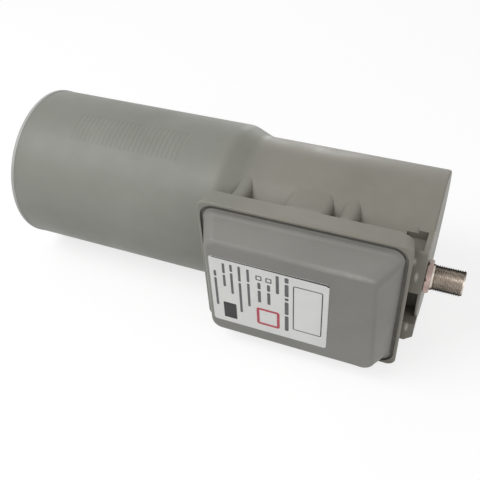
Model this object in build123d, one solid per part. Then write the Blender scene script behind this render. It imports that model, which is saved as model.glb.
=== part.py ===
"""Satellite feed receiver: a round die-cast feed tube with an electronics tray, lid and coaxial port.

Frame, in millimetres: the origin is the centre of the casting's mouth, on the waveguide axis.
+X runs along the axis towards the coaxial port, the lid faces -Y, and +Z is up.
"""

import os
from math import cos, radians, sin, sqrt

from build123d import *

# Feed tube, shoulder and round body
TUBE_R = 33.0
TUBE_WALL = 3.0
TUBE_LENGTH = 91.8
SHOULDER_LENGTH = 8.5
SHOULDER_ROUND = 9.0
BODY_R = 29.7
BODY_WALL = 2.7
BODY_PAST_TRAY = 4.0
BODY_EDGE_R = 0.8
END_WALL = 4.0
FUNNEL_LENGTH = 10.0

# Scale engraved on top of the tube
SCALE_START = 24.0
SCALE_PITCH = 2.1
SCALE_COUNT = 24
SCALE_TICK_WIDTH = 1.3
SCALE_DEPTH = 0.12
SCALE_ARC = 24.0
SCALE_CENTRE_ANGLE = 17.5

# Electronics tray
TRAY_OVERLAP = 1.5
TRAY_LENGTH = 79.5
TRAY_HALF_WIDTH = 32.2
TRAY_MID_Z = -1.6
TRAY_CORNER_R = 3.5
TRAY_DRAFT = 1.6
INNER_CORNER_R = 1.2
TRAY_EDGE_R = 0.8
GUIDE_COVER = 1.0
TRAY_FLOOR = 3.0
TRAY_DEPTH = 6.0
TRAY_RIM = 1.3
TRAY_WALL = 4.6
LEDGE_DEPTH = 1.8

# Gussets between the tray and the round body, as (place along the tray, width)
GUSSETS = ((11.8, 6.0), (38.2, 17.6), (53.6, 7.0))
GUSSET_INSET = 2.6
GUSSET_RISE = 15.5
GUSSET_SAG = 1.2
GUSSET_SINK = 0.3
GUSSET_EDGE_R = 3.2
GUSSET_EDGE_SHARE = 0.44

# Lid, its seal and the label
LID_HEIGHT = 11.0
LID_BRIM = 0.8
LID_ROOT_R = 1.8
LID_ROOT_TURN = 76.0
LID_ROOT_STEPS = 6
LID_FRONT_BEVEL = 4.5
LID_REAR_BEVEL_TOP = 6.8
LID_REAR_BEVEL_LOW = 4.2
LID_SIDE_BEVEL = 2.85
LID_CORNER_R = 4.6
LID_WALL = 1.6
LID_EDGE_R = 2.0
SEAM_GAP = 1.4
SEAL_THICKNESS = 0.8
SEAL_OVERLAP = 1.4
LABEL_LENGTH = 45.8
LABEL_WIDTH = 35.0
LABEL_THICKNESS = 0.15
LABEL_CORNER_R = 1.2
LABEL_END_MARGIN = 1.5
LABEL_DROP = 0.4

# Connector block and lower lug at the rear end
BLOCK_SETBACK = 6.5
BLOCK_OVER_PORT = 16.3
BLOCK_UNDER_PORT = 5.2
BLOCK_EDGE_R = 1.5
LUG_TOP = -14.0
LUG_BOTTOM = -24.0
LUG_CHAMFER = 3.0

# Pocket behind the top of the connector block, and slot between the block and the lug
POCKET_LENGTH = 7.5
POCKET_END_RIM = 1.8
POCKET_FRONT_WALL = 1.0
POCKET_REACH = 9.7
POCKET_DEPTH = 4.0
SLOT_END_RIM = 1.0
SLOT_DEPTH = 9.0

# Coaxial port, with a standard 3/8-32 barrel
PORT_DROP = 6.0
PORT_Z = 7.2
BARREL_R = 4.7625
BARREL_LENGTH = 11.35
BARREL_BORE_R = 3.5
BARREL_CHAMFER = 0.5
HEX_ACROSS = 11.1
HEX_THICKNESS = 1.8
HEX_CHAMFER = 0.5
SHANK_R = 4.4
SHANK_REACH = 2.5
WASHER_THICKNESS = 0.35
WASHER_R = 5.6
INSULATOR_RECESS = 0.9
CONTACT_R = 0.9
CONTACT_SOCKET_R = 0.45
CONTACT_SOCKET_DEPTH = 9.0
CONTACT_FRONT_COVER = 1.5
CONTACT_WIRE_R = 0.5

# Well in the tray floor behind the port
WELL_LENGTH = 14.0
WELL_HALF_WIDTH = 17.0
WELL_SIDE_WALL = 4.5
WELL_FLOOR_WALL = 3.0
WELL_PORT_ROOM = 1.5

# Mouth cap
CAP_FLANGE = 1.5
CAP_PROUD = 0.15
CAP_EDGE_CHAMFER = 0.2
CAP_SKIRT = 6.0
CAP_WALL = 1.5
CAP_CLEARANCE = 0.1

# Circuit board and what it carries
BOARD_THICKNESS = 1.2
BOARD_EDGE_GAP = 0.6
BOARD_CORNER_R = 2.5
PROBE_R = 0.65
PROBE_STUB = 0.6
FRONT_PROBE_PLACE = 20.0
FRONT_PROBE_REACH = 14.0
REAR_PROBE_BACKSHORT = 9.3
REAR_PROBE_ARM = 14.0
SLEEVE_R = 2.1
ROD_R = 1.25
CHIP_HEIGHT = 1.0
CHIP_SIDE = 2.2
CHIP_SPREAD = 6.0
MIXER_SIDE = 4.5
REGULATOR_LENGTH = 6.5
REGULATOR_WIDTH = 3.6
REGULATOR_HEIGHT = 1.6
REGULATOR_TAB = 1.7
REGULATOR_EDGE = 11.6
CAPACITOR_LENGTH = 1.6
CAPACITOR_WIDTH = 0.9
CAPACITOR_COUNT = 7
CAPACITOR_PITCH = 4.2
RESERVOIR_R = 2.6
RESERVOIR_HEIGHT = 5.4
CHOKE_R = 3.0
CHOKE_HEIGHT = 3.4
CHOKE_WAIST_R = 2.2
CHOKE_FLANGE = 0.6
CHOKE_EDGE = 8.4

# Shield cover over the high frequency half, with the resonator under it
SHIELD_FRONT_GAP = 2.0
SHIELD_REAR_GAP = 1.7
SHIELD_SIDE_GAP = 4.0
SHIELD_FLANGE = 6.0
SHIELD_SHEET = 1.0
SHIELD_HEIGHT = 9.0
SCREW_R = 1.25
SCREW_HEAD_R = 2.3
SCREW_HEAD_HEIGHT = 1.5
SCREW_BITE = 2.2
SCREW_SLOT = 0.5
PUCK_OFFSET = 4.0
PUCK_Z = 10.5
PUCK_R = 5.6
PUCK_HEIGHT = 4.4
SPACER_R = 3.4
SPACER_HEIGHT = 1.4
TUNER_R = 2.5
TUNER_PROUD = 1.2
TUNER_AIR = 0.8

# Clearance of every pin, screw and sleeve in its hole
FIT_GAP = 0.05

# Places worked out from the sizes above
TUBE_BORE_R = TUBE_R - TUBE_WALL
GUIDE_R = BODY_R - BODY_WALL
TRAY_BACK = GUIDE_R + GUIDE_COVER
BODY_START = TUBE_LENGTH + SHOULDER_LENGTH
TRAY_X0 = TUBE_LENGTH - TRAY_OVERLAP
TRAY_X1 = TRAY_X0 + TRAY_LENGTH
BODY_END = TRAY_X1 + BODY_PAST_TRAY
GUIDE_END = BODY_END - END_WALL
FLOOR_Y = -TRAY_BACK - TRAY_FLOOR
RIM_Y = FLOOR_Y - TRAY_DEPTH
LEDGE_Y = RIM_Y + LEDGE_DEPTH
LID_SEAT_Y = LEDGE_Y - SEAL_THICKNESS
LID_TOP_Y = RIM_Y - LID_HEIGHT
TRAY_MID_X = (TRAY_X0 + TRAY_X1) / 2
BLOCK_FRONT = -RIM_Y - BLOCK_SETBACK
BLOCK_TOP = PORT_Z + BLOCK_OVER_PORT
BLOCK_BOTTOM = PORT_Z - BLOCK_UNDER_PORT
PORT_Y = -BLOCK_FRONT + PORT_DROP
LID_INSET = TRAY_RIM + SEAM_GAP
LID_ROOT_HEIGHT = LID_ROOT_R * (1 - cos(radians(LID_ROOT_TURN)))
LID_ROOT_INSET = LID_BRIM + LID_ROOT_R * sin(radians(LID_ROOT_TURN))
BOARD_TOP_Y = FLOOR_Y - BOARD_THICKNESS
BOARD_INSET = TRAY_WALL + BOARD_EDGE_GAP
BOARD_HALF_WIDTH = TRAY_HALF_WIDTH - BOARD_INSET
WELL_X1 = TRAY_X1 - TRAY_WALL
WELL_X0 = WELL_X1 - WELL_LENGTH
WELL_Y = PORT_Y + SHANK_R + WELL_PORT_ROOM
HEX_X0 = BODY_END + WASHER_THICKNESS
HEX_X1 = HEX_X0 + HEX_THICKNESS
BARREL_END = HEX_X1 + BARREL_LENGTH
SHANK_END = WELL_X1 - SHANK_REACH
SHIELD_X0 = TRAY_X0 + BOARD_INSET + SHIELD_FRONT_GAP
SHIELD_X1 = WELL_X0 - SHIELD_REAR_GAP
SHIELD_LENGTH = SHIELD_X1 - SHIELD_X0
SHIELD_HALF_WIDTH = BOARD_HALF_WIDTH - SHIELD_SIDE_GAP
SHIELD_MID_X = (SHIELD_X0 + SHIELD_X1) / 2
SHIELD_TOP_Y = BOARD_TOP_Y - SHIELD_HEIGHT
FLANGE_TOP_Y = BOARD_TOP_Y - SHIELD_SHEET
SCREW_REACH = SHIELD_HALF_WIDTH - SHIELD_FLANGE / 2
SCREW_SPOTS = [
    (x, z)
    for x in (SHIELD_X0 + SHIELD_FLANGE / 2, SHIELD_X1 - SHIELD_FLANGE / 2)
    for z in (TRAY_MID_Z - SCREW_REACH, TRAY_MID_Z + SCREW_REACH)
]
FRONT_PROBE_X = TRAY_X0 + FRONT_PROBE_PLACE + TRAY_WALL
REAR_PROBE_X = WELL_X0 - WELL_FLOOR_WALL - REAR_PROBE_BACKSHORT
ROD_X = (FRONT_PROBE_X + REAR_PROBE_X) / 2
PUCK_X = ROD_X + PUCK_OFFSET
PUCK_BASE_Y = BOARD_TOP_Y - SPACER_HEIGHT
PUCK_TOP_Y = PUCK_BASE_Y - PUCK_HEIGHT
CONTACT_WIRE_X = WELL_X0 + WELL_LENGTH / 3
REAR_MID_X = (SHIELD_X1 + WELL_X1) / 2
REGULATOR_Z = TRAY_MID_Z - BOARD_HALF_WIDTH + REGULATOR_EDGE
CHOKE_Z = TRAY_MID_Z + BOARD_HALF_WIDTH - CHOKE_EDGE


def bar_x(radius, x0, x1, y=0.0, z=0.0):
    """Round bar along X."""
    return Pos((x0 + x1) / 2, y, z) * Rot(0, 90, 0) * Cylinder(radius, x1 - x0)


def bar_y(radius, y0, y1, x, z):
    """Round bar along Y."""
    return Pos(x, (y0 + y1) / 2, z) * Rot(90, 0, 0) * Cylinder(radius, abs(y1 - y0))


def bar_z(radius, z0, z1, x, y):
    """Round bar along Z."""
    return Pos(x, y, (z0 + z1) / 2) * Cylinder(radius, z1 - z0)


def block(x0, x1, y0, y1, z0, z1):
    """Square block between two corners."""
    size = Box(abs(x1 - x0), abs(y1 - y0), abs(z1 - z0))
    return Pos((x0 + x1) / 2, (y0 + y1) / 2, (z0 + z1) / 2) * size


def pad(length, width, corner_r, y0, y1, x, z):
    """Plate with round corners that faces -Y, between the planes y0 and y1."""
    sketch = Plane.XZ.offset(-max(y0, y1)) * Pos(x, z) * RectangleRounded(length, width, corner_r)
    return extrude(sketch, amount=abs(y1 - y0))


def tray_pad(inset, y0, y1):
    """Plate with the lid's corners, set in from the tray's outer wall."""
    corner_r = max(LID_CORNER_R + LID_INSET - inset, INNER_CORNER_R)
    width = 2 * (TRAY_HALF_WIDTH - inset)
    return pad(TRAY_LENGTH - 2 * inset, width, corner_r, y0, y1, TRAY_MID_X, TRAY_MID_Z)


def turned(points):
    """Solid of revolution about the X axis from (x, radius) points."""
    profile = make_face(Polyline([(x, r, 0) for x, r in points], close=True))
    return revolve(profile, Axis.X)


def outer_round():
    """Outside of the tube, shoulder and round body."""
    corners = [
        (0, 0),
        (0, TUBE_R),
        (TUBE_LENGTH, TUBE_R),
        (BODY_START, BODY_R),
        (BODY_END, BODY_R),
        (BODY_END, 0),
    ]
    face = make_face(Polyline([(x, r, 0) for x, r in corners], close=True))
    end = face.vertices().sort_by_distance((BODY_END, BODY_R, 0))[0]
    face = fillet(end, BODY_EDGE_R)
    neck = face.vertices().sort_by_distance((BODY_START, BODY_R, 0))[0]
    shoulder = face.vertices().sort_by_distance((TUBE_LENGTH, TUBE_R, 0))[0]
    face = fillet([neck, shoulder], SHOULDER_ROUND)
    return revolve(face, Axis.X)


def tray_outside():
    """Outside of the tray, drafted towards its back, with soft edges round its rim and its back."""
    sections = []
    for y, inset in ((-TRAY_BACK, TRAY_DRAFT), (RIM_Y, 0)):
        width = 2 * (TRAY_HALF_WIDTH - inset)
        sketch = RectangleRounded(TRAY_LENGTH - 2 * inset, width, TRAY_CORNER_R)
        sections.append(Plane.XZ.offset(-y) * Pos(TRAY_MID_X, TRAY_MID_Z) * sketch)
    solid = loft(sections, ruled=True)
    rings = solid.edges().group_by(Axis.Y)
    return fillet(rings[0] + rings[-1], TRAY_EDGE_R)


def well_housing():
    """Walls round the well behind the port, between the tray and the round body."""
    half = WELL_HALF_WIDTH + WELL_SIDE_WALL
    return block(WELL_X0 - WELL_FLOOR_WALL, TRAY_X1 - TRAY_RIM, FLOOR_Y, 0, -half, half)


def guide_bore():
    """Hollow of the waveguide: wide tube bore, funnel, narrow bore and its flat-sided rear end."""
    funnel_end = TUBE_LENGTH - TRAY_OVERLAP
    front = turned(
        [
            (0, 0),
            (0, TUBE_BORE_R),
            (funnel_end - FUNNEL_LENGTH, TUBE_BORE_R),
            (funnel_end, GUIDE_R),
            (WELL_X0 - WELL_FLOOR_WALL, GUIDE_R),
            (WELL_X0 - WELL_FLOOR_WALL, 0),
        ]
    )
    rear = bar_x(GUIDE_R, WELL_X0 - WELL_FLOOR_WALL, GUIDE_END)
    side = WELL_Y + WELL_FLOOR_WALL
    rear &= block(WELL_X0 - WELL_FLOOR_WALL, GUIDE_END, side, TUBE_R, -TUBE_R, TUBE_R)
    return front + rear


def gusset(place, width, side):
    """One soft-edged gusset that sags from the back of the tray to the round body."""
    root_y = -TRAY_BACK - TRAY_FLOOR / 2
    outer_z = TRAY_MID_Z + side * (TRAY_HALF_WIDTH - GUSSET_INSET)
    end_y = -TRAY_BACK + GUSSET_RISE
    end_z = side * sqrt((BODY_R - GUSSET_SINK) ** 2 - end_y**2)
    x0 = TRAY_X0 + place - width / 2
    middle = (x0, (end_y - TRAY_BACK) / 2, (outer_z + end_z) / 2 - side * GUSSET_SAG)
    saddle = ThreePointArc((x0, -TRAY_BACK, outer_z), middle, (x0, end_y, end_z))
    rest = Polyline(
        (x0, end_y, end_z),
        (x0, end_y, 0),
        (x0, root_y, 0),
        (x0, root_y, outer_z),
        (x0, -TRAY_BACK, outer_z),
    )
    solid = extrude(make_face([saddle, rest]), amount=width, dir=(1, 0, 0))
    edge_r = min(GUSSET_EDGE_R, GUSSET_EDGE_SHARE * width)
    return fillet(solid.edges().filter_by(GeomType.CIRCLE), edge_r)


def connector_block():
    """Block at the rear end that carries the coaxial port."""
    x0 = TRAY_X1 - TRAY_RIM
    height = BLOCK_TOP - BLOCK_BOTTOM
    sketch = Plane.YZ.offset(x0) * Pos(-BLOCK_FRONT / 2, BLOCK_BOTTOM + height / 2)
    return extrude(sketch * RectangleRounded(BLOCK_FRONT, height, BLOCK_EDGE_R), amount=BODY_END - x0)


def lower_lug():
    """Lug below the port, with its outer lower corner cut off."""
    x0 = TRAY_X1 - TRAY_RIM
    corners = [
        (x0, LUG_TOP),
        (BODY_END, LUG_TOP),
        (BODY_END, LUG_BOTTOM + LUG_CHAMFER),
        (BODY_END - LUG_CHAMFER, LUG_BOTTOM),
        (x0, LUG_BOTTOM),
    ]
    face = make_face(Polyline([(x, -BLOCK_FRONT, z) for x, z in corners], close=True))
    return extrude(face, amount=BLOCK_FRONT, dir=(0, 1, 0))


def block_pocket():
    """Cutter for the open pocket between the connector block and the round body."""
    x1 = BODY_END - POCKET_END_RIM
    y0 = -BLOCK_FRONT + POCKET_FRONT_WALL
    return block(x1 - POCKET_LENGTH, x1, y0, y0 + POCKET_REACH, BLOCK_TOP - POCKET_DEPTH, BODY_R)


def block_slot():
    """Cutter for the deep slot between the connector block and the lower lug."""
    x0 = TRAY_X1 - TRAY_RIM
    x1 = BODY_END - SLOT_END_RIM
    return block(x0, x1, -BLOCK_FRONT, -BLOCK_FRONT + SLOT_DEPTH, LUG_TOP, BLOCK_BOTTOM)


def scale_ticks():
    """Cutters for the fine scale on top of the tube, each a shallow round groove."""
    groove_r = (SCALE_TICK_WIDTH**2 / 4 + SCALE_DEPTH**2) / (2 * SCALE_DEPTH)
    ticks = []
    for i in range(SCALE_COUNT):
        centre = (SCALE_START + i * SCALE_PITCH, 0, TUBE_R - SCALE_DEPTH + groove_r)
        face = Plane(origin=centre, z_dir=(0, -1, 0)) * Circle(groove_r)
        tick = revolve(face, Axis.X, revolution_arc=SCALE_ARC)
        ticks.append(Rot(SCALE_CENTRE_ANGLE - SCALE_ARC / 2, 0, 0) * tick)
    return ticks


def feed_body():
    """The one die casting."""
    solid = outer_round() + tray_outside() + well_housing()
    for place, width in GUSSETS:
        for side in (-1, 1):
            solid += gusset(place, width, side)
    solid += connector_block()
    solid += lower_lug()
    solid -= block_pocket()
    solid -= block_slot()
    solid -= tray_pad(TRAY_WALL, FLOOR_Y, RIM_Y)
    solid -= tray_pad(TRAY_RIM, LEDGE_Y, RIM_Y)
    solid -= guide_bore()
    solid -= block(WELL_X0, WELL_X1, FLOOR_Y, WELL_Y, -WELL_HALF_WIDTH, WELL_HALF_WIDTH)
    solid -= bar_x(SHANK_R + FIT_GAP, WELL_X1, BODY_END, PORT_Y, PORT_Z)
    for x in (FRONT_PROBE_X, REAR_PROBE_X):
        solid -= bar_y(SLEEVE_R + FIT_GAP, FLOOR_Y, -GUIDE_R / 2, x, 0)
    solid -= bar_y(ROD_R + FIT_GAP, FLOOR_Y, -GUIDE_R / 2, ROD_X, 0)
    for x, z in SCREW_SPOTS:
        solid -= bar_y(SCREW_R + FIT_GAP, FLOOR_Y, FLOOR_Y + SCREW_BITE + FIT_GAP, x, z)
    for tick in scale_ticks():
        solid -= tick
    return solid


def mouth_cap():
    """Thin cap with a skirt that plugs the mouth of the tube."""
    skirt_r = TUBE_BORE_R - CAP_CLEARANCE
    edge_r = TUBE_R + CAP_PROUD
    return turned(
        [
            (-CAP_FLANGE, 0),
            (-CAP_FLANGE, edge_r - CAP_EDGE_CHAMFER),
            (-CAP_FLANGE + CAP_EDGE_CHAMFER, edge_r),
            (0, edge_r),
            (0, skirt_r),
            (CAP_SKIRT, skirt_r),
            (CAP_SKIRT, skirt_r - CAP_WALL),
            (0, skirt_r - CAP_WALL),
            (0, 0),
        ]
    )


def lid_section(height, end_inset, side_inset):
    """Outline of the lid at a height over the rim, with its ends and sides set in."""
    share = height / LID_HEIGHT
    x0 = TRAY_X0 + LID_INSET + end_inset + LID_FRONT_BEVEL * share
    rear = TRAY_X1 - LID_INSET - end_inset
    half = TRAY_HALF_WIDTH - LID_INSET - side_inset
    corners = [
        (x0, TRAY_MID_Z - half),
        (rear - LID_REAR_BEVEL_LOW * share, TRAY_MID_Z - half),
        (rear - LID_REAR_BEVEL_TOP * share, TRAY_MID_Z + half),
        (x0, TRAY_MID_Z + half),
    ]
    outline = make_face(Polyline([(x, z, 0) for x, z in corners], close=True))
    return Plane.XZ.offset(height - RIM_Y) * fillet(outline.vertices(), LID_CORNER_R - end_inset)


def lid_outside():
    """Outside of the lid: sloped ends, and long sides that curve up from a narrow brim."""
    sections = [lid_section(0, 0, 0)]
    for i in range(1, LID_ROOT_STEPS + 1):
        turn = radians(LID_ROOT_TURN) * i / LID_ROOT_STEPS
        sections.append(lid_section(LID_ROOT_R * (1 - cos(turn)), 0, LID_BRIM + LID_ROOT_R * sin(turn)))
    sections.append(lid_section(LID_HEIGHT, 0, LID_ROOT_INSET + LID_SIDE_BEVEL))
    solid = loft(sections, ruled=True)
    top = solid.faces().sort_by(Axis.Y)[0]
    return fillet(top.edges(), LID_EDGE_R)


def lid_hollow():
    """Hollow of the lid, open towards the tray."""
    side_inset = LID_ROOT_INSET + LID_WALL
    base = lid_section(RIM_Y - LID_SEAT_Y, LID_WALL, side_inset)
    ceiling = lid_section(LID_HEIGHT - LID_WALL, LID_WALL, side_inset + LID_SIDE_BEVEL)
    return loft([base, ceiling], ruled=True)


def box_lid():
    """Bevelled lid, a shell open towards the tray."""
    return lid_outside() + tray_pad(LID_INSET, LID_SEAT_Y, RIM_Y) - lid_hollow()


def lid_seal():
    """Flat seal on the ledge, under the lid and across the seam."""
    ring = tray_pad(TRAY_RIM + FIT_GAP, LEDGE_Y, LID_SEAT_Y)
    return ring - tray_pad(LID_INSET + SEAL_OVERLAP, LEDGE_Y, LID_SEAT_Y)


def rating_label():
    """Sticker on the lid's flat face, by its front end."""
    flat_x0 = TRAY_X0 + LID_INSET + LID_FRONT_BEVEL
    x = flat_x0 + LABEL_END_MARGIN + LABEL_LENGTH / 2
    z = TRAY_MID_Z - LABEL_DROP
    label_y = LID_TOP_Y - LABEL_THICKNESS
    return pad(LABEL_LENGTH, LABEL_WIDTH, LABEL_CORNER_R, LID_TOP_Y, label_y, x, z)


def connector_body():
    """Hexagon, plain barrel at the thread's outer size, and shank into the well."""
    corner_r = HEX_ACROSS / sqrt(3)
    sketch = Plane.YZ.offset(HEX_X0) * Pos(PORT_Y, PORT_Z) * RegularPolygon(corner_r, 6)
    hexagon = extrude(sketch, amount=HEX_THICKNESS)
    dome = bar_x(corner_r, HEX_X0, HEX_X1, PORT_Y, PORT_Z)
    dome = chamfer(dome.edges().filter_by(GeomType.CIRCLE), HEX_CHAMFER)
    solid = hexagon & dome
    barrel = bar_x(BARREL_R, HEX_X1, BARREL_END, PORT_Y, PORT_Z)
    tip = barrel.edges().filter_by(GeomType.CIRCLE).sort_by(Axis.X)[-1]
    solid += chamfer(tip, BARREL_CHAMFER)
    solid += bar_x(SHANK_R, SHANK_END, HEX_X0, PORT_Y, PORT_Z)
    solid -= bar_x(BARREL_BORE_R, SHANK_END, BARREL_END, PORT_Y, PORT_Z)
    return solid


def connector_washer():
    """Thin dark washer under the hexagon."""
    ring = bar_x(WASHER_R, BODY_END, HEX_X0, PORT_Y, PORT_Z)
    return ring - bar_x(SHANK_R + FIT_GAP, BODY_END, HEX_X0, PORT_Y, PORT_Z)


def connector_insulator():
    """Plug that holds the contact in the barrel."""
    front = BARREL_END - INSULATOR_RECESS
    solid = bar_x(BARREL_BORE_R, SHANK_END, front, PORT_Y, PORT_Z)
    solid -= bar_x(CONTACT_R, SHANK_END, front - CONTACT_FRONT_COVER, PORT_Y, PORT_Z)
    solid -= bar_x(CONTACT_SOCKET_R, SHANK_END, front, PORT_Y, PORT_Z)
    return solid


def connector_contact():
    """Socket contact, with its wire bent up through the board."""
    front = BARREL_END - INSULATOR_RECESS - CONTACT_FRONT_COVER
    solid = bar_x(CONTACT_R, SHANK_END, front, PORT_Y, PORT_Z)
    solid += bar_x(CONTACT_WIRE_R, CONTACT_WIRE_X, SHANK_END, PORT_Y, PORT_Z)
    solid += Pos(CONTACT_WIRE_X, PORT_Y, PORT_Z) * Sphere(CONTACT_WIRE_R)
    solid += bar_y(CONTACT_WIRE_R, BOARD_TOP_Y - PROBE_STUB, PORT_Y, CONTACT_WIRE_X, PORT_Z)
    solid -= bar_x(CONTACT_SOCKET_R, front - CONTACT_SOCKET_DEPTH, front, PORT_Y, PORT_Z)
    return solid


def circuit_board():
    """Board that lies on the tray floor, with holes for pins and screws."""
    solid = tray_pad(BOARD_INSET, FLOOR_Y, BOARD_TOP_Y)
    for x in (FRONT_PROBE_X, REAR_PROBE_X):
        solid -= bar_y(PROBE_R + FIT_GAP, FLOOR_Y, BOARD_TOP_Y, x, 0)
    solid -= bar_y(CONTACT_WIRE_R + FIT_GAP, FLOOR_Y, BOARD_TOP_Y, CONTACT_WIRE_X, PORT_Z)
    for x, z in SCREW_SPOTS:
        solid -= bar_y(SCREW_R + FIT_GAP, FLOOR_Y, BOARD_TOP_Y, x, z)
    return solid


def front_probe():
    """Straight pin from the board into the waveguide."""
    return bar_y(PROBE_R, BOARD_TOP_Y - PROBE_STUB, -GUIDE_R + FRONT_PROBE_REACH, FRONT_PROBE_X, 0)


def rear_probe():
    """Bent pin for the other polarisation."""
    elbow_y = -PROBE_R
    solid = bar_y(PROBE_R, BOARD_TOP_Y - PROBE_STUB, elbow_y, REAR_PROBE_X, 0)
    solid += Pos(REAR_PROBE_X, elbow_y, 0) * Sphere(PROBE_R)
    solid += bar_z(PROBE_R, 0, REAR_PROBE_ARM, REAR_PROBE_X, elbow_y)
    return solid


def probe_sleeves():
    """Insulating sleeves of the two probes."""
    sleeves = []
    for x in (FRONT_PROBE_X, REAR_PROBE_X):
        sleeve = bar_y(SLEEVE_R, FLOOR_Y, -GUIDE_R, x, 0)
        sleeves.append(sleeve - bar_y(PROBE_R + FIT_GAP, FLOOR_Y, -GUIDE_R, x, 0))
    return Compound(children=sleeves)


def isolation_rod():
    """Rod across the waveguide, between the probes."""
    far_end = sqrt(GUIDE_R**2 - ROD_R**2) - FIT_GAP
    return bar_y(ROD_R, FLOOR_Y, far_end, ROD_X, 0)


def shield_cover():
    """Pressed cover with a flange on two ends, and holes for screws and tuner."""
    inner_x0 = SHIELD_X0 + SHIELD_FLANGE
    inner_x1 = SHIELD_X1 - SHIELD_FLANGE
    width = 2 * SHIELD_HALF_WIDTH
    place = (SHIELD_MID_X, TRAY_MID_Z)
    solid = pad(SHIELD_LENGTH, width, BOARD_CORNER_R, BOARD_TOP_Y, FLANGE_TOP_Y, *place)
    can_length = inner_x1 - inner_x0
    solid += pad(can_length, width, BOARD_CORNER_R, BOARD_TOP_Y, SHIELD_TOP_Y, *place)
    solid -= pad(
        can_length - 2 * SHIELD_SHEET,
        width - 2 * SHIELD_SHEET,
        BOARD_CORNER_R - SHIELD_SHEET,
        BOARD_TOP_Y,
        SHIELD_TOP_Y + SHIELD_SHEET,
        *place,
    )
    for x, z in SCREW_SPOTS:
        solid -= bar_y(SCREW_R + FIT_GAP, BOARD_TOP_Y, FLANGE_TOP_Y, x, z)
    solid -= bar_y(TUNER_R + FIT_GAP, SHIELD_TOP_Y, SHIELD_TOP_Y + SHIELD_SHEET, PUCK_X, PUCK_Z)
    return solid


def driver_slot(head_r, head_y, x, z):
    """Cutter for the slot across a screw head."""
    half = SCREW_SLOT / 2
    return block(x - head_r, x + head_r, head_y, head_y + SCREW_SLOT, z - half, z + half)


def shield_screws():
    """Four slotted screws through the flange and the board into the casting."""
    screws = []
    for x, z in SCREW_SPOTS:
        head_y = FLANGE_TOP_Y - SCREW_HEAD_HEIGHT
        screw = bar_y(SCREW_HEAD_R, head_y, FLANGE_TOP_Y, x, z)
        screw += bar_y(SCREW_R, FLANGE_TOP_Y, FLOOR_Y + SCREW_BITE, x, z)
        screws.append(screw - driver_slot(SCREW_HEAD_R, head_y, x, z))
    return Compound(children=screws)


def resonator_spacer():
    """Low post under the resonator."""
    return bar_y(SPACER_R, BOARD_TOP_Y, PUCK_BASE_Y, PUCK_X, PUCK_Z)


def resonator_puck():
    """Ceramic resonator of the local oscillator."""
    return bar_y(PUCK_R, PUCK_BASE_Y, PUCK_TOP_Y, PUCK_X, PUCK_Z)


def tuning_screw():
    """Slotted screw in the shield cover, over the resonator."""
    top_y = SHIELD_TOP_Y - TUNER_PROUD
    solid = bar_y(TUNER_R, top_y, PUCK_TOP_Y - TUNER_AIR, PUCK_X, PUCK_Z)
    return solid - driver_slot(TUNER_R, top_y, PUCK_X, PUCK_Z)


def chip(x, z, length, width, height):
    """Block that lies on the board."""
    top_y = BOARD_TOP_Y - height
    return block(x - length / 2, x + length / 2, top_y, BOARD_TOP_Y, z - width / 2, z + width / 2)


def amplifier_chips():
    """Low noise transistors beside the two probes."""
    chips = []
    for x in (FRONT_PROBE_X, REAR_PROBE_X):
        for z in (-2 * CHIP_SPREAD, -CHIP_SPREAD):
            chips.append(chip(x, z, CHIP_SIDE, CHIP_SIDE, CHIP_HEIGHT))
    return Compound(children=chips)


def mixer_chip():
    """Square mixer package between the transistors and the resonator."""
    return chip(ROD_X, -2 * CHIP_SPREAD, MIXER_SIDE, MIXER_SIDE, CHIP_HEIGHT)


def regulator():
    """Voltage regulator with its soldered tab."""
    solid = chip(REAR_MID_X, REGULATOR_Z, REGULATOR_WIDTH, REGULATOR_LENGTH, REGULATOR_HEIGHT)
    tab_x = REAR_MID_X + REGULATOR_WIDTH / 2
    return solid + chip(tab_x, REGULATOR_Z, REGULATOR_TAB, REGULATOR_LENGTH / 2, REGULATOR_HEIGHT / 3)


def chip_capacitors():
    """Row of chip capacitors behind the shield cover."""
    row_x = SHIELD_X1 + SHIELD_SHEET + CAPACITOR_LENGTH
    first_z = -(CAPACITOR_COUNT - 1) * CAPACITOR_PITCH / 2
    row = [
        chip(row_x, first_z + i * CAPACITOR_PITCH, CAPACITOR_LENGTH, CAPACITOR_WIDTH, CAPACITOR_WIDTH)
        for i in range(CAPACITOR_COUNT)
    ]
    return Compound(children=row)


def reservoir_capacitor():
    """Upright can capacitor on the regulator's output."""
    z = REGULATOR_Z + REGULATOR_LENGTH / 2 + 2 * RESERVOIR_R
    return bar_y(RESERVOIR_R, BOARD_TOP_Y, BOARD_TOP_Y - RESERVOIR_HEIGHT, REAR_MID_X, z)


def feed_choke():
    """Drum choke that feeds power from the port."""
    top_y = BOARD_TOP_Y - CHOKE_HEIGHT
    solid = bar_y(CHOKE_WAIST_R, BOARD_TOP_Y, top_y, REAR_MID_X, CHOKE_Z)
    solid += bar_y(CHOKE_R, BOARD_TOP_Y, BOARD_TOP_Y - CHOKE_FLANGE, REAR_MID_X, CHOKE_Z)
    solid += bar_y(CHOKE_R, top_y + CHOKE_FLANGE, top_y, REAR_MID_X, CHOKE_Z)
    return solid


PIECES = (
    feed_body,
    mouth_cap,
    box_lid,
    lid_seal,
    rating_label,
    connector_body,
    connector_washer,
    connector_insulator,
    connector_contact,
    circuit_board,
    front_probe,
    rear_probe,
    probe_sleeves,
    isolation_rod,
    shield_cover,
    shield_screws,
    resonator_spacer,
    resonator_puck,
    tuning_screw,
    amplifier_chips,
    mixer_chip,
    regulator,
    chip_capacitors,
    reservoir_capacitor,
    feed_choke,
)

os.makedirs("parts", exist_ok=True)
for piece in PIECES:
    export_step(piece(), f"parts/{piece.__name__}.step")
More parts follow.
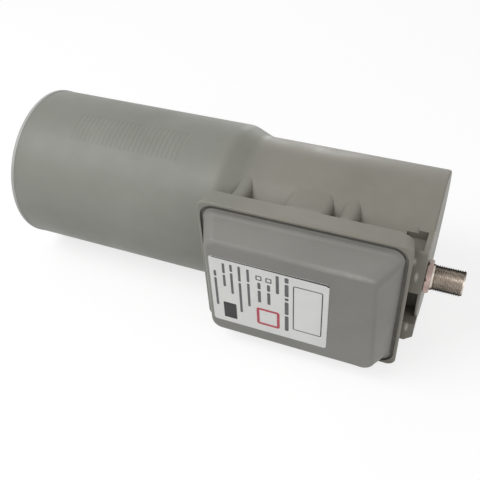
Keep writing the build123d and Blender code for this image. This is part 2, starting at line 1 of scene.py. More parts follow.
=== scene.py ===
"""Looks of the satellite feed receiver: paint, plating, thread, label, floor, lights and camera."""

import math

import bmesh
import bpy
from mathutils import Matrix, Vector


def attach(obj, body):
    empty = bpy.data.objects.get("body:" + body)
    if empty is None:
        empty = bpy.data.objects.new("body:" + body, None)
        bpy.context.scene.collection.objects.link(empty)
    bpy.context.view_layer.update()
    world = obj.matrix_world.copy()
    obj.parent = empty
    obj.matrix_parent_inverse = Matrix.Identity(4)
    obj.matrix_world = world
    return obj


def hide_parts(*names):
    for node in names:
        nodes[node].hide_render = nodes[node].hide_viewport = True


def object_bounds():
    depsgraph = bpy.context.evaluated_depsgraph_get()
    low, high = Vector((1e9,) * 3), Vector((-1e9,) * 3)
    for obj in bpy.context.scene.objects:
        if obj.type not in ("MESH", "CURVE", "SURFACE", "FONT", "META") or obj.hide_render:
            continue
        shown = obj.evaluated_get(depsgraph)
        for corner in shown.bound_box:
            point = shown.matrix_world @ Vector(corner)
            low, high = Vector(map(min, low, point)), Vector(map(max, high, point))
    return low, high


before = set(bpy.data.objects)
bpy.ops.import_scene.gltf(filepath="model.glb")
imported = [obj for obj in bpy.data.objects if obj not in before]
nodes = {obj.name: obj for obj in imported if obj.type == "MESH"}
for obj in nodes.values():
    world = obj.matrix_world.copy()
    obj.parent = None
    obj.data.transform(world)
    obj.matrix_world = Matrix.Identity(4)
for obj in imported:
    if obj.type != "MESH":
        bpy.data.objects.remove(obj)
cad_low, cad_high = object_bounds()


def linear(level):
    """Linear value of an 8-bit sRGB level."""
    share = level / 255
    if share <= 0.04045:
        return share / 12.92
    return ((share + 0.055) / 1.055) ** 2.4


def colour(red, green, blue):
    """Linear colour from 8-bit sRGB levels."""
    return (linear(red), linear(green), linear(blue), 1.0)


MM = 0.001
BLACK = (0.0, 0.0, 0.0, 1.0)
WHITE = (1.0, 1.0, 1.0, 1.0)

# Camera, from the outline of the tube, the rear end and the box in the photograph
CAMERA_PLACE = (0.18142, -0.19866, 0.18408)
CAMERA_RIGHT = (0.92646, 0.37304, -0.05012)
CAMERA_UP = (-0.22359, 0.65256, 0.72399)
CAMERA_BACK = (0.30279, -0.65954, 0.68798)
CAMERA_LENS = 49.754
CAMERA_SENSOR = 36.0
CAMERA_NEAR = 0.01

# Floor: half its width in metres, its grey as a bounce light and as a ground for shadows, and its glow
FLOOR_HALF = 6.0
FLOOR_BOUNCE = (0.8, 0.8, 0.8, 1.0)
FLOOR_GROUND = (0.3, 0.3, 0.3, 1.0)
FLOOR_GLOW = 0.76

# Lights: strength of the surroundings, and soft lamps by name, place, target, size and power
WORLD_STRENGTH = 0.36
LAMPS = (
    ("key_lamp", (-0.32, -0.30, 0.66), (0.06, 0.0, 0.0), 0.5, 3.75),
    ("side_lamp", (0.75, -0.25, 0.35), (0.15, 0.0, 0.0), 0.5, 0.9),
    ("far_lamp", (-0.03, 0.68, 0.06), (0.12, 0.0, 0.02), 0.12, 0.4),
)

# Coaxial port, in millimetres, as in the CAD model
PORT_Y = -24.5
PORT_Z = 7.2
SHANK_START = 162.7
SHANK_R = 4.4
SHANK_IN_HEX = 1.0
SHANK_STEP = 0.5
HEX_X0 = 174.15
HEX_X1 = 175.95
HEX_ACROSS = 11.1
HEX_CHAMFER = 0.5
HEX_OVERLAP = 0.3
BARREL_END = 187.3
BARREL_R = 4.7625
BARREL_CHAMFER = 0.5
BORE_R = 3.5
BORE_CHAMFER = 0.15

# Thread: sizes in millimetres, a flank as a share of the pitch and the flat crest as a share of a flank
THREAD_PITCH = 25.4 / 32
THREAD_DEPTH = 0.46
THREAD_START = 176.3
THREAD_FLANK = 0.375
THREAD_CREST = 0.08

# Fineness of the connector's mesh, with depths of the hexagon's rows from a face and angles of sharp edges
BARREL_STEPS = 96
PITCH_STEPS = 12
HEX_STEPS = 180
HEX_ROW_DEPTHS = (0.0, 0.08, 0.16, 0.25, 0.35, 0.5)
BARREL_SHARP_ANGLE = 50
HEX_SHARP_ANGLE = 25

# Label print and a painted shadow line, in millimetres, with areas as (x0, x1, z0, z1) on the lid's face
LABEL_CORNER_R = 1.2
PRINT_RISE = 0.02
PRINT_SINK = 0.06
PRINT_LEAST_R = 0.05
CORNER_STEPS = 6
# Painted shadow line along the label's upper edge: its margin, thin width and thick width
EDGE_SHADOW_MARGIN = 0.04
EDGE_SHADOW_THIN = 0.35
EDGE_SHADOW_THICK = 0.75
THIN_STROKE = 0.4
EMPTY_FRAME = (131.6, 142.7, -13.6, 10.6)
EMPTY_FRAME_R = 0.8
TICK_BOXES = ((121.2, 123.5, 8.8, 11.1), (117.4, 119.7, 8.9, 11.2))
TICK_BOX_R = 0.2
DARK_FIELD = (103.6, 108.9, -16.8, -8.0)
DARK_FIELD_R = 0.3
RED_FRAME = (117.2, 126.4, -15.6, -6.2)
RED_FRAME_R = 1.0
RED_STROKE = 1.1

# Lines of plain bars, each by its place along X, its start in Z, its height and the lengths of its bars
BAR_LINES = (
    (129.2, 13.7, 1.5, (2.6, 6.4, 1.4, 7.0, 8.6)),
    (125.7, 13.6, 1.2, (9.4,)),
    (122.3, 7.6, 1.2, (3.4, 6.4)),
    (118.6, 7.6, 1.2, (3.4, 6.4)),
    (114.4, 13.1, 1.0, (6.6, 12.6)),
    (111.0, 13.4, 1.0, (7.8, 16.4)),
    (107.8, 13.3, 1.0, (3.6, 11.2)),
    (104.8, 13.1, 1.0, (5.2, 6.2)),
    (101.2, 8.4, 1.0, (3.0, 15.2)),
)
BAR_GAP = 0.8
BAR_ROUNDING = 0.3
BAR_CORNER_STEPS = 3

# Spans of a mask's source over which it fades, and of noise over which a tone or gloss changes
EDGE_SPAN = (0.82, 0.985)
CREVICE_SPAN = (0.2, 0.8)
GRAZING_SPAN = (0.35, 0.8)
SPOT_SPAN = (0.3, 1.0)
NOISE_SPAN = (0.3, 0.7)
MOULDED_SPAN = (0.32, 0.68)
PAINT_GLOSS_SPAN = (0.35, 0.7)
INK_SPAN = (0.3, 0.75)
WEAVE_SPAN = (0.2, 0.8)
EDGE_SAMPLES = 6

# Sockets of a colour mix node
MIX_FACTOR = 0
MIX_FIRST = 6
MIX_SECOND = 7
MIX_RESULT = 2

# Paint: stops and tones of its cloud, from the tube to the rear over a stretch of X in metres
CLOUD_STOPS = (0.3, 0.5, 0.7)
TUBE_TONES = (colour(133, 134, 126), colour(140, 141, 133), colour(146, 147, 139))
BODY_TONES = (colour(133, 129, 120), colour(140, 137, 127), colour(146, 143, 133))
LID_TONES = (colour(133, 132, 127), colour(139, 138, 133), colour(145, 144, 139))
REAR_FADE = (0.085, 0.115)
PAINT_ROUGHNESS = (0.40, 0.54)
PAINT_SPECULAR = 0.3
# Painted shade, mixed in where corners and gaps hide the light
PAINTED_CORNER_SHADE = colour(84, 81, 74)
PAINTED_DEEP_SHADE = colour(74, 72, 66)
WORN_EDGE = colour(162, 160, 154)
# Pale tone for the spots at the rear and for the painted highlight on the lid's ridge
PALE_SPOT_AND_HIGHLIGHT = colour(236, 234, 228)

# Pale spots at the rear and a painted highlight along the lid's ridge, as (place, reach, depth), with
# places and reaches in metres
REAR_PALE_SPOTS = (
    ((0.1695, -0.0305, 0.0183), (0.0010, 0.002, 0.0026), 1.0),
    ((0.1712, -0.0305, 0.0113), (0.0008, 0.002, 0.0032), 1.0),
    ((0.1710, -0.0305, -0.0164), (0.0008, 0.002, 0.0032), 1.0),
)
# Painted highlight: a light band along the lid's rounded ridge
RIDGE_PAINTED_HIGHLIGHT = (((0.150, -0.0474, 0.0219), (0.028, 0.0012, 0.0012), 0.26),)

# Label film and laminate
FILM_TONES = (colour(230, 230, 227), colour(239, 239, 236))
# Painted shade along the film's edges
FILM_EDGE_SHADE = colour(176, 175, 172)
FILM_ROUGHNESS = (0.34, 0.48)
INK_ROUGHNESS = (0.36, 0.5)
BOARD_TONES = (colour(38, 96, 62), colour(52, 116, 76))
BOARD_ROUGHNESS = (0.4, 0.55)
WEAVE_SCALE = 260.0

# Metal: swing of its gloss, squeeze of its turning lines along X, painted shade for its grooves and rims,
# and a dark tint that paints shade into the reflections at its rims
METAL_GLOSS_SWING = 0.06
LINE_SQUEEZE = (40.0, 1.0, 1.0)
PAINTED_METAL_SHADE = colour(46, 43, 38)
METAL_SHADE_SAMPLES = 24
RIM_REFLECTION_SHADE = colour(96, 91, 84)

# Moulded and fired pieces: material, dark and light tone, cloud scale, roughness, peel and nodes
MOULDED_GLOSS_SWING = 0.07
WAXY_NODES = ("connector_insulator", "probe_sleeves", "resonator_spacer")
CHIP_NODES = ("amplifier_chips", "mixer_chip", "regulator")
MOULDED = (
    ("cap_plastic", (168, 168, 166), (184, 184, 181), 60.0, 0.5, 0.12, ("mouth_cap",)),
    ("seal_rubber", (124, 122, 115), (138, 136, 129), 160.0, 0.75, 0.25, ("lid_seal",)),
    ("waxy_insulator", (226, 225, 219), (238, 237, 232), 120.0, 0.38, 0.12, WAXY_NODES),
    ("rod_absorber", (52, 52, 51), (66, 66, 64), 140.0, 0.6, 0.12, ("isolation_rod",)),
    ("puck_ceramic", (186, 164, 132), (204, 184, 154), 220.0, 0.55, 0.12, ("resonator_puck",)),
    ("chip_mould", (30, 30, 31), (44, 44, 45), 300.0, 0.55, 0.12, CHIP_NODES),
    ("capacitor_body", (168, 138, 100), (190, 160, 120), 400.0, 0.5, 0.12, ("chip_capacitors",)),
    ("choke_ferrite", (58, 54, 50), (74, 70, 65), 260.0, 0.6, 0.12, ("feed_choke",)),
)

# Plated and turned pieces: material, dark and light tone, roughness, scale of the lines and nodes
GILT_NODES = ("connector_contact", "front_probe", "rear_probe")
PLATED = (
    ("washer_steel", (58, 56, 54), (84, 82, 78), 0.42, 60.0, ("connector_washer",)),
    ("gilt_brass", (205, 164, 92), (226, 190, 122), 0.24, 80.0, GILT_NODES),
    ("shield_sheet", (196, 197, 199), (214, 215, 217), 0.34, 50.0, ("shield_cover",)),
    ("screw_zinc", (180, 181, 184), (204, 205, 208), 0.3, 90.0, ("shield_screws",)),
    ("tuner_brass", (190, 154, 92), (212, 178, 116), 0.3, 90.0, ("tuning_screw",)),
    ("capacitor_can", (198, 199, 202), (218, 219, 222), 0.28, 70.0, ("reservoir_capacitor",)),
)

# Nickel of the connector: dark and light tone, roughness, scale of the lines, depth of painted shade in
# the grooves and depth of painted shade at the rims
THREAD_NICKEL = ((198, 188, 177), (218, 208, 197), 0.24, 140.0, 1.0, 0.9)
HEXAGON_NICKEL = ((156, 137, 131), (184, 162, 155), 0.3, 140.0, 0.6, 0.0)


class Shader:
    """A material's node tree, with short calls for the textures used here."""

    def __init__(self, name):
        self.material = bpy.data.materials.new(name)
        self.material.use_nodes = True
        self.tree = self.material.node_tree
        self.bsdf = self.tree.nodes["Principled BSDF"]
        self.coords = self.tree.nodes.new("ShaderNodeTexCoord").outputs["Object"]
        self.normal = None

    def add(self, kind, **values):
        """New node with some of its settings."""
        node = self.tree.nodes.new(kind)
        for key, value in values.items():
            setattr(node, key, value)
        return node

    def link(self, source, target):
        """Link from an output socket to an input socket."""
        self.tree.links.new(source, target)

    def noise(self, scale, detail=3.0, roughness=0.55, stretch=None):
        """Noise over the object's own coordinates; stretch squeezes it along X, Y and Z."""
        node = self.add("ShaderNodeTexNoise")
        node.inputs["Scale"].default_value = scale
        node.inputs["Detail"].default_value = detail
        node.inputs["Roughness"].default_value = roughness
        source = self.coords
        if stretch:
            mapping = self.add("ShaderNodeMapping")
            mapping.inputs["Scale"].default_value = stretch
            self.link(source, mapping.inputs["Vector"])
            source = mapping.outputs["Vector"]
        self.link(source, node.inputs["Vector"])
        return node.outputs["Fac"]

    def ramp(self, source, stops, values):
        """Colour ramp with a colour or grey value at each stop."""
        node = self.add("ShaderNodeValToRGB")
        elements = node.color_ramp.elements
        while len(elements) < len(stops):
            elements.new(0.5)
        for element, stop, value in zip(elements, stops, values):
            element.position = stop
            element.color = value if isinstance(value, tuple) else (value, value, value, 1.0)
        self.link(source, node.inputs["Fac"])
        return node.outputs["Color"]

    def mix(self, factor, first, second):
        """Mix of two colours, each a socket or a colour."""
        node = self.add("ShaderNodeMix", data_type="RGBA")
        self.link(factor, node.inputs[MIX_FACTOR])
        for index, value in ((MIX_FIRST, first), (MIX_SECOND, second)):
            if isinstance(value, tuple):
                node.inputs[index].default_value = value
            else:
                self.link(value, node.inputs[index])
        return node.outputs[MIX_RESULT]

    def edges(self, radius):
        """Mask that is bright on sharp outer edges."""
        bevel = self.add("ShaderNodeBevel", samples=EDGE_SAMPLES)
        bevel.inputs["Radius"].default_value = radius
        geometry = self.add("ShaderNodeNewGeometry")
        dot = self.add("ShaderNodeVectorMath", operation="DOT_PRODUCT")
        self.link(bevel.outputs["Normal"], dot.inputs[0])
        self.link(geometry.outputs["Normal"], dot.inputs[1])
        return self.ramp(dot.outputs["Value"], EDGE_SPAN, (1.0, 0.0))

    def crevices(self, distance, depth, samples=8):
        """Mask that grows to a depth in corners and gaps."""
        shade = self.add("ShaderNodeAmbientOcclusion", samples=samples)
        shade.inputs["Distance"].default_value = distance
        return self.ramp(shade.outputs["AO"], CREVICE_SPAN, (depth, 0.0))

    def grazing(self, depth):
        """Mask that grows to a depth where the surface turns away from the eye."""
        weight = self.add("ShaderNodeLayerWeight")
        return self.ramp(weight.outputs["Facing"], GRAZING_SPAN, (0.0, depth))

    def along_x(self, start, end):
        """Factor that grows from 0 to 1 between two places along X."""
        axes = self.add("ShaderNodeSeparateXYZ")
        self.link(self.coords, axes.inputs[0])
        span = self.add("ShaderNodeMapRange")
        span.inputs["From Min"].default_value = start
        span.inputs["From Max"].default_value = end
        self.link(axes.outputs["X"], span.inputs["Value"])
        return span.outputs["Result"]

    def spot(self, place, reach, depth):
        """Mask that fades out from its depth at a place over a reach along X, Y and Z."""
        mapping = self.add("ShaderNodeMapping", vector_type="TEXTURE")
        mapping.inputs["Location"].default_value = place
        mapping.inputs["Scale"].default_value = reach
        self.link(self.coords, mapping.inputs["Vector"])
        away = self.add("ShaderNodeVectorMath", operation="LENGTH")
        self.link(mapping.outputs["Vector"], away.inputs[0])
        return self.ramp(away.outputs["Value"], SPOT_SPAN, (depth, 0.0))

    def bump(self, height, strength, distance):
        """Adds a layer of bump over the layers before it."""
        node = self.add("ShaderNodeBump")
        node.inputs["Strength"].default_value = strength
        node.inputs["Distance"].default_value = distance
        self.link(height, node.inputs["Height"])
        if self.normal is not None:
            self.link(self.normal, node.inputs["Normal"])
        self.normal = node.outputs["Normal"]
        self.link(self.normal, self.bsdf.inputs["Normal"])

    def base(self, source):
        """Base colour from a socket."""
        self.link(source, self.bsdf.inputs["Base Color"])

    def rough(self, source):
        """Roughness from a socket."""
        self.link(source, self.bsdf.inputs["Roughness"])

    def set(self, **values):
        """Constant shader values, by socket name with underscores for spaces."""
        for key, value in values.items():
            self.bsdf.inputs[key.replace("_", " ")].default_value = value


def cast_paint(name, tones, rear_tones, pale_spots):
    """Satin grey paint on a casting: cloudy tone, fine peel, worn edges, painted shade in the corners and
    gaps, and pale spots that include a painted highlight.
    """
    shader = Shader(name)
    cloud = shader.noise(scale=26.0, detail=5.0, roughness=0.6)
    tone = shader.ramp(cloud, CLOUD_STOPS, tones)
    rear_tone = shader.ramp(cloud, CLOUD_STOPS, rear_tones)
    tone = shader.mix(shader.along_x(*REAR_FADE), tone, rear_tone)
    # Painted shade: darker in corners and gaps, where less light reaches
    tone = shader.mix(shader.crevices(distance=0.008, depth=0.2), tone, PAINTED_CORNER_SHADE)
    tone = shader.mix(shader.crevices(distance=0.0025, depth=0.3), tone, PAINTED_DEEP_SHADE)
    worn = shader.mix(shader.noise(scale=240.0, detail=4.0), BLACK, shader.edges(radius=0.0005))
    tone = shader.mix(worn, tone, WORN_EDGE)
    for place, reach, depth in pale_spots:
        # Pale spots, and on the lid a painted highlight along its ridge
        pale_spot = shader.mix(shader.noise(scale=520.0), BLACK, shader.spot(place, reach, depth))
        tone = shader.mix(pale_spot, tone, PALE_SPOT_AND_HIGHLIGHT)
    shader.base(tone)
    shader.rough(shader.ramp(shader.noise(scale=60.0, detail=4.0), PAINT_GLOSS_SPAN, PAINT_ROUGHNESS))
    shader.bump(shader.noise(scale=140.0), strength=0.10, distance=0.0004)
    shader.bump(shader.noise(scale=1700.0, detail=2.0), strength=0.14, distance=0.0001)
    shader.set(Specular_IOR_Level=PAINT_SPECULAR)
    return shader.material


def moulded(name, dark, light, scale, roughness, peel):
    """Moulded or fired material: two tones, varied gloss and a fine surface."""
    shader = Shader(name)
    tones = (colour(*dark), colour(*light))
    gloss = (roughness - MOULDED_GLOSS_SWING, roughness + MOULDED_GLOSS_SWING)
    shader.base(shader.ramp(shader.noise(scale, detail=4.0), MOULDED_SPAN, tones))
    shader.rough(shader.ramp(shader.noise(scale * 2.5), NOISE_SPAN, gloss))
    shader.bump(shader.noise(scale * 30, detail=2.0), peel, distance=0.0001)
    return shader.material


def plated(name, dark, light, roughness, lines, groove_shade=0.0, rim_shade=0.0):
    """Metal with turning lines round the X axis, painted shade in its grooves, and painted shade at its
    rims in place of dark reflections.
    """
    shader = Shader(name)
    tones = (colour(*dark), colour(*light))
    gloss = (roughness - METAL_GLOSS_SWING, roughness + METAL_GLOSS_SWING)
    tone = shader.ramp(shader.noise(scale=180.0, detail=1.0), NOISE_SPAN, tones)
    if groove_shade:
        # Painted shade: darker in grooves and corners, where less light reaches
        grooves = shader.crevices(distance=0.0006, depth=groove_shade, samples=METAL_SHADE_SAMPLES)
        tone = shader.mix(grooves, tone, PAINTED_METAL_SHADE)
    if rim_shade:
        # Painted shade at the rims, where the surface turns away, with darker reflections there
        tone = shader.mix(shader.grazing(rim_shade), tone, PAINTED_METAL_SHADE)
        shader.set(Specular_Tint=RIM_REFLECTION_SHADE)
    shader.base(tone)
    shader.rough(shader.ramp(shader.noise(scale=420.0, detail=1.0), NOISE_SPAN, gloss))
    turning = shader.noise(lines, detail=1.0, roughness=0.5, stretch=LINE_SQUEEZE)
    shader.bump(turning, strength=0.02, distance=0.00005)
    shader.set(Metallic=1.0)
    return shader.material


def sticker(name):
    """White sticker film, a little uneven, with painted shade along its edges."""
    shader = Shader(name)
    film = shader.ramp(shader.noise(scale=70.0, detail=4.0), NOISE_SPAN, FILM_TONES)
    # Painted shade: greyer along the film's edges
    shader.base(shader.mix(shader.edges(radius=0.0004), film, FILM_EDGE_SHADE))
    shader.rough(shader.ramp(shader.noise(scale=90.0), NOISE_SPAN, FILM_ROUGHNESS))
    shader.bump(shader.noise(scale=60.0), strength=0.08, distance=0.0003)
    shader.bump(shader.noise(scale=2200.0, detail=2.0), strength=0.06, distance=0.00005)
    return shader.material


def ink(name, dark, light):
    """Print with a slightly uneven density."""
    shader = Shader(name)
    shader.base(shader.ramp(shader.noise(scale=900.0), INK_SPAN, (dark, light)))
    shader.rough(shader.ramp(shader.noise(scale=300.0, detail=2.0), NOISE_SPAN, INK_ROUGHNESS))
    return shader.material


def board_green(name):
    """Green laminate with a faint weave."""
    shader = Shader(name)
    waves = []
    for axis in ("X", "Z"):
        wave = shader.add("ShaderNodeTexWave", bands_direction=axis)
        wave.inputs["Scale"].default_value = WEAVE_SCALE
        shader.link(shader.coords, wave.inputs["Vector"])
        waves.append(wave)
    weave = shader.mix(waves[0].outputs["Fac"], BLACK, waves[1].outputs["Color"])
    shader.base(shader.ramp(weave, WEAVE_SPAN, BOARD_TONES))
    shader.rough(shader.ramp(shader.noise(scale=200.0), NOISE_SPAN, BOARD_ROUGHNESS))
    shader.bump(weave, strength=0.08, distance=0.00005)
    return shader.material


def finish_nodes(material, *names):
    """Gives CAD nodes one material."""
    for name in names:
        slots = nodes[name].data.materials
        slots.clear()
        slots.append(material)


def dress_nodes():
    """Gives every CAD node but the connector its material."""
    finish_nodes(cast_paint("body_paint", TUBE_TONES, BODY_TONES, REAR_PALE_SPOTS), "feed_body")
    finish_nodes(cast_paint("lid_paint", LID_TONES, LID_TONES, RIDGE_PAINTED_HIGHLIGHT), "box_lid")
    finish_nodes(sticker("label_film"), "rating_label")
    finish_nodes(board_green("board_laminate"), "circuit_board")
    for *look, names in MOULDED:
        finish_nodes(moulded(*look), *names)
    for *look, names in PLATED:
        finish_nodes(plated(*look), *names)


def piece_from(name, mesh, slot, *materials):
    """New piece that rides on the part, with the materials given. The slot is not used."""
    obj = bpy.data.objects.new(name, mesh)
    bpy.context.scene.collection.objects.link(obj)
    for material in materials:
        mesh.materials.append(material)
    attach(obj, "root")
    return obj


def circle(steps):
    """Angles of even steps round a circle."""
    return [2 * math.pi * i / steps for i in range(steps)]


def around_port(x, radius, angle):
    """Point in metres at a radius and angle round the port's axis."""
    y = PORT_Y + radius * math.cos(angle)
    z = PORT_Z + radius * math.sin(angle)
    return (x * MM, y * MM, z * MM)


def ring_mesh(name, rows):
    """Mesh from loops of points round the X axis; the last loop joins up with the first."""
    count = len(rows[0])
    points = [point for row in rows for point in row]
    faces = []
    for i in range(len(rows)):
        here = i * count
        there = (i + 1) % len(rows) * count
        for j in range(count):
            k = (j + 1) % count
            faces.append((here + j, here + k, there + k, there + j))
    mesh = bpy.data.meshes.new(name)
    mesh.from_pydata(points, [], faces)
    return mesh


def thread_radius(x, angle):
    """Outside of the barrel: a V thread that grows over its first turn behind the hexagon."""
    turn = ((x - THREAD_START) / THREAD_PITCH - angle / (2 * math.pi)) % 1.0
    groove = max(0.0, min(1.0, (0.5 - abs(turn - 0.5)) / THREAD_FLANK - THREAD_CREST))
    growth = max(0.0, min(1.0, (x - THREAD_START) / THREAD_PITCH))
    return BARREL_R - THREAD_DEPTH * groove * growth


def barrel_mesh():
    """Shank, threaded barrel and bore as one closed shape round the port's axis."""
    angles = circle(BARREL_STEPS)
    shank_end = HEX_X0 + SHANK_IN_HEX
    tip_start = BARREL_END - BARREL_CHAMFER
    thread_length = tip_start - HEX_X1
    count = int(thread_length / (THREAD_PITCH / PITCH_STEPS))
    shank = ((SHANK_START, SHANK_R), (shank_end, SHANK_R), (shank_end + SHANK_STEP, BARREL_R))
    tip = ((BARREL_END, BARREL_R - BARREL_CHAMFER), (BARREL_END, BORE_R + BORE_CHAMFER))
    bore = ((BARREL_END - BORE_CHAMFER, BORE_R), (SHANK_START, BORE_R))
    rows = [[around_port(x, radius, angle) for angle in angles] for x, radius in shank]
    for i in range(count + 1):
        x = HEX_X1 + thread_length * i / count
        rows.append([around_port(x, thread_radius(x, angle), angle) for angle in angles])
    rows += [[around_port(x, radius, angle) for angle in angles] for x, radius in tip + bore]
    return ring_mesh("connector_thread", rows)


def hexagon_mesh():
    """Hexagon with turned chamfers on both faces, as a closed ring round the shank."""
    angles = circle(HEX_STEPS)
    sector = math.pi / 3
    apothem = HEX_ACROSS / 2
    corner = apothem / math.cos(sector / 2)
    hole = SHANK_R - HEX_OVERLAP
    thickness = HEX_X1 - HEX_X0
    depths = [*HEX_ROW_DEPTHS, thickness / 2]
    depths += [thickness - depth for depth in reversed(HEX_ROW_DEPTHS)]
    rows = [[around_port(HEX_X0, hole, angle) for angle in angles]]
    for depth in depths:
        limit = corner - max(0.0, HEX_CHAMFER - min(depth, thickness - depth))
        row = []
        for angle in angles:
            flat = apothem / math.cos(angle % sector - sector / 2)
            row.append(around_port(HEX_X0 + depth, min(flat, limit), angle + sector / 2))
        rows.append(row)
    rows.append([around_port(HEX_X1, hole, angle) for angle in angles])
    return ring_mesh("connector_hexagon", rows)


def smooth_by_angle(mesh, degrees):
    """Smooth shading, with edges sharper than an angle kept sharp."""
    shape = bmesh.new()
    shape.from_mesh(mesh)
    bmesh.ops.recalc_face_normals(shape, faces=shape.faces)
    for edge in shape.edges:
        edge.smooth = edge.calc_face_angle(0.0) < math.radians(degrees)
    for face in shape.faces:
        face.smooth = True
    shape.to_mesh(mesh)
    shape.free()


def join_meshes(name, *meshes):
    """One mesh from several, each with a material slot of its own."""
    shape = bmesh.new()
    for index, mesh in enumerate(meshes):
        done = len(shape.faces)
        shape.from_mesh(mesh)
        shape.faces.ensure_lookup_table()
        for face in shape.faces[done:]:
            face.material_index = index
    joined = bpy.data.meshes.new(name)
    shape.to_mesh(joined)
    shape.free()
    return joined


def threaded_connector():
    """Connector with its thread and hexagon, in place of the plain CAD one."""
    barrel = barrel_mesh()
    hexagon = hexagon_mesh()
    smooth_by_angle(barrel, BARREL_SHARP_ANGLE)
    smooth_by_angle(hexagon, HEX_SHARP_ANGLE)
    thread_nickel = plated("thread_nickel", *THREAD_NICKEL)
    hexagon_nickel = plated("hexagon_nickel", *HEXAGON_NICKEL)
    finish_nodes(thread_nickel, "connector_body")
    mesh = join_meshes("connector_threaded", barrel, hexagon)
    connector = piece_from("connector_threaded", mesh, "nickel", thread_nickel, hexagon_nickel)
    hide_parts("connector_body")


def label_box():
    """Low and high corner of the label's box, in millimetres."""
    label = nodes["rating_label"]
    points = [label.matrix_world @ vertex.co / MM for vertex in label.data.vertices]
    low = Vector([min(values) for values in zip(*points)])
    high = Vector([max(values) for values in zip(*points)])
    return low, high


def rounded_loop(x0, x1, z0, z1, radius, steps=CORNER_STEPS):
    """Points of a rectangle with round corners, in millimetres on the lid's face."""
    corners = (
        (x1 - radius, z1 - radius, 0),
        (x0 + radius, z1 - radius, 90),
        (x0 + radius, z0 + radius, 180),
        (x1 - radius, z0 + radius, 270),
    )
    loop = []
    for corner_x, corner_z, start in corners:
        for i in range(steps + 1):
            angle = math.radians(start + 90 * i / steps)
            loop.append((corner_x + radius * math.cos(angle), corner_z + radius * math.sin(angle)))
    return loop


def inked_area(shape, outer, inner=None):
    """Adds one inked area to the label, a plain patch or a frame with an open middle."""
    face_y = label_box()[0].y
    front_y = (face_y - PRINT_RISE) * MM
    back_y = (face_y + PRINT_SINK) * MM

    def ring(loop, y):
        return [shape.verts.new((x * MM, y, z * MM)) for x, z in loop]

    def wall(first, second):
        for i in range(len(first)):
            k = (i + 1) % len(first)
            shape.faces.new((first[i], first[k], second[k], second[i]))

    outer_front = ring(outer, front_y)
    outer_back = ring(outer, back_y)
    wall(outer_front, outer_back)
    if inner is None:
        shape.faces.new(outer_front)
        shape.faces.new(list(reversed(outer_back)))
        return
    inner_front = ring(inner, front_y)
    inner_back = ring(inner, back_y)
    wall(inner_front, inner_back)
    wall(outer_front, inner_front)
    wall(outer_back, inner_back)


def print_frame(shape, area, radius, stroke):
    """Adds an outlined field."""
    x0, x1, z0, z1 = area
    outer = rounded_loop(x0, x1, z0, z1, radius)
    inner_r = max(radius - stroke, PRINT_LEAST_R)
    inner = rounded_loop(x0 + stroke, x1 - stroke, z0 + stroke, z1 - stroke, inner_r)
    inked_area(shape, outer, inner)


def print_line(shape, x, start_z, height, lengths):
    """Adds a line of plain bars that runs down the label from start_z."""
    x0 = x - height / 2
    x1 = x + height / 2
    z = start_z
    for length in lengths:
        inked_area(shape, rounded_loop(x0, x1, z - length, z, height * BAR_ROUNDING, BAR_CORNER_STEPS))
        z -= length + BAR_GAP


def painted_edge_shadow(shape):
    """Adds a painted shadow line along the label's upper edge that grows towards the port and turns the
    corner.
    """
    low, high = label_box()
    start_x = low.x + LABEL_CORNER_R
    corner_x = high.x - LABEL_CORNER_R
    corner_z = high.z - LABEL_CORNER_R
    outer_r = LABEL_CORNER_R - EDGE_SHADOW_MARGIN
    inner_r = outer_r - EDGE_SHADOW_THICK
    turns = [math.radians(90 - 90 * i / CORNER_STEPS) for i in range(CORNER_STEPS + 1)]

    def arc(radius):
        return [(corner_x + radius * math.cos(turn), corner_z + radius * math.sin(turn)) for turn in turns]

    start = [(start_x, corner_z + outer_r - EDGE_SHADOW_THIN), (start_x, corner_z + outer_r)]
    inked_area(shape, start + arc(outer_r) + arc(inner_r)[::-1])


def dark_print_and_edge_shadow(shape):
    """Painted shadow line at the upper edge, empty frame, two tick boxes and a dark field."""
    painted_edge_shadow(shape)
    print_frame(shape, EMPTY_FRAME, EMPTY_FRAME_R, THIN_STROKE)
    for area in TICK_BOXES:
        print_frame(shape, area, TICK_BOX_R, THIN_STROKE)
    inked_area(shape, rounded_loop(*DARK_FIELD, DARK_FIELD_R))


def grey_print(shape):
    """Plain bars where a label has its lines."""
    for line in BAR_LINES:
        print_line(shape, *line)


def red_print(shape):
    """Plain red field with an open middle."""
    print_frame(shape, RED_FRAME, RED_FRAME_R, RED_STROKE)


def inked_piece(name, draw, material):
    """Piece of the label's print and painted shadow, with all areas that draw adds."""
    shape = bmesh.new()
    draw(shape)
    bmesh.ops.recalc_face_normals(shape, faces=shape.faces)
    mesh = bpy.data.meshes.new(name)
    shape.to_mesh(mesh)
    shape.free()
    piece_from(name, mesh, "label", material)


def label_inks():
    """All print on the label, and the painted shadow line in the dark ink, one piece for each ink."""
    dark = ink("dark_ink", colour(28, 28, 30), colour(46, 46, 48))
    grey = ink("print_grey", colour(86, 85, 87), colour(110, 109, 110))
    red = ink("print_red", colour(176, 58, 74), colour(196, 78, 92))
    inked_piece("label_dark_print_and_edge_shadow", dark_print_and_edge_shadow, dark)
    inked_piece("label_print_grey", grey_print, grey)
    inked_piece("label_print_red", red_print, red)


def seen_directly(tree):
    """Factor that is 1 for rays from the camera, off gloss and through glass."""
    path = tree.nodes.new("ShaderNodeLightPath")
    seen = path.outputs["Is Camera Ray"]
    for kind in ("Is Glossy Ray", "Is Transmission Ray"):
        most = tree.nodes.new("ShaderNodeMath")
        most.operation = "MAXIMUM"
        tree.links.new(seen, most.inputs[0])
        tree.links.new(path.outputs[kind], most.inputs[1])
        seen = most.outputs[0]
    return seen


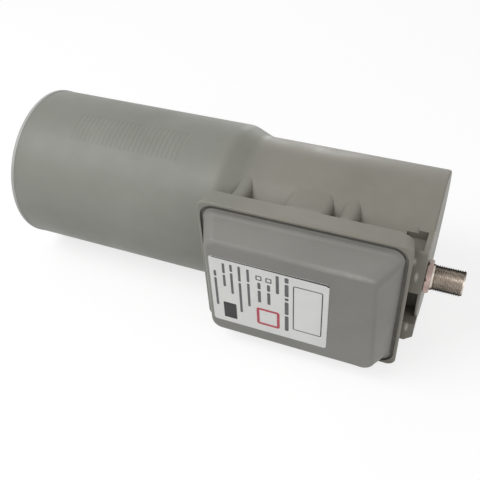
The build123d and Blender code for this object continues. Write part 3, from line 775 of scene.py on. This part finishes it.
def end_tree(tree, lighting, seen, output_kind):
    """Ends a node tree with one shader for what lights the part and one for what is seen."""
    choice = tree.nodes.new("ShaderNodeMixShader")
    tree.links.new(seen_directly(tree), choice.inputs[0])
    tree.links.new(lighting.outputs[0], choice.inputs[1])
    tree.links.new(seen.outputs[0], choice.inputs[2])
    output = tree.nodes.new(output_kind)
    tree.links.new(choice.outputs[0], output.inputs["Surface"])


def floor_white():
    """Floor that looks white, keeps a soft shadow and lights the part from below."""
    material = bpy.data.materials.new("floor_white")
    material.use_nodes = True
    tree = material.node_tree
    tree.nodes.clear()
    bounce = tree.nodes.new("ShaderNodeBsdfDiffuse")
    bounce.inputs["Color"].default_value = FLOOR_BOUNCE
    ground = tree.nodes.new("ShaderNodeBsdfDiffuse")
    ground.inputs["Color"].default_value = FLOOR_GROUND
    glow = tree.nodes.new("ShaderNodeEmission")
    glow.inputs["Strength"].default_value = FLOOR_GLOW
    both = tree.nodes.new("ShaderNodeAddShader")
    tree.links.new(ground.outputs[0], both.inputs[0])
    tree.links.new(glow.outputs[0], both.inputs[1])
    end_tree(tree, bounce, both, "ShaderNodeOutputMaterial")
    return material


def pale_floor():
    """Large pale floor under the part."""
    signs = ((-1, -1), (1, -1), (1, 1), (-1, 1))
    corners = [(x * FLOOR_HALF, y * FLOOR_HALF, cad_low.z) for x, y in signs]
    mesh = bpy.data.meshes.new("floor")
    mesh.from_pydata(corners, [], [(0, 1, 2, 3)])
    mesh.materials.append(floor_white())
    floor = bpy.data.objects.new("floor", mesh)
    bpy.context.scene.collection.objects.link(floor)


def studio_world():
    """White surroundings that light the part softly."""
    world = bpy.data.worlds.new("studio")
    bpy.context.scene.world = world
    world.use_nodes = True
    tree = world.node_tree
    tree.nodes.clear()
    soft = tree.nodes.new("ShaderNodeBackground")
    soft.inputs["Strength"].default_value = WORLD_STRENGTH
    white = tree.nodes.new("ShaderNodeBackground")
    for background in (soft, white):
        background.inputs["Color"].default_value = WHITE
    end_tree(tree, soft, white, "ShaderNodeOutputWorld")


def soft_lamp(name, place, target, size, power):
    """Square soft lamp that faces a point."""
    lamp = bpy.data.lights.new(name, "AREA")
    lamp.shape = "SQUARE"
    lamp.size = size
    lamp.energy = power
    obj = bpy.data.objects.new(name, lamp)
    bpy.context.scene.collection.objects.link(obj)
    back = Vector(place) - Vector(target)
    obj.matrix_world = Matrix.Translation(place) @ back.to_track_quat("Z", "Y").to_matrix().to_4x4()


def photo_camera():
    """Camera at the photograph's place and angle."""
    data = bpy.data.cameras.new("camera")
    data.sensor_width = CAMERA_SENSOR
    data.lens = CAMERA_LENS
    data.clip_start = CAMERA_NEAR
    camera = bpy.data.objects.new("camera", data)
    bpy.context.scene.collection.objects.link(camera)
    axes = zip(CAMERA_RIGHT, CAMERA_UP, CAMERA_BACK, CAMERA_PLACE)
    camera.matrix_world = Matrix([*axes, (0.0, 0.0, 0.0, 1.0)])
    bpy.context.scene.camera = camera


dress_nodes()
threaded_connector()
label_inks()
pale_floor()
studio_world()
for lamp in LAMPS:
    soft_lamp(*lamp)
photo_camera()
bpy.context.scene.view_settings.view_transform = "Standard"
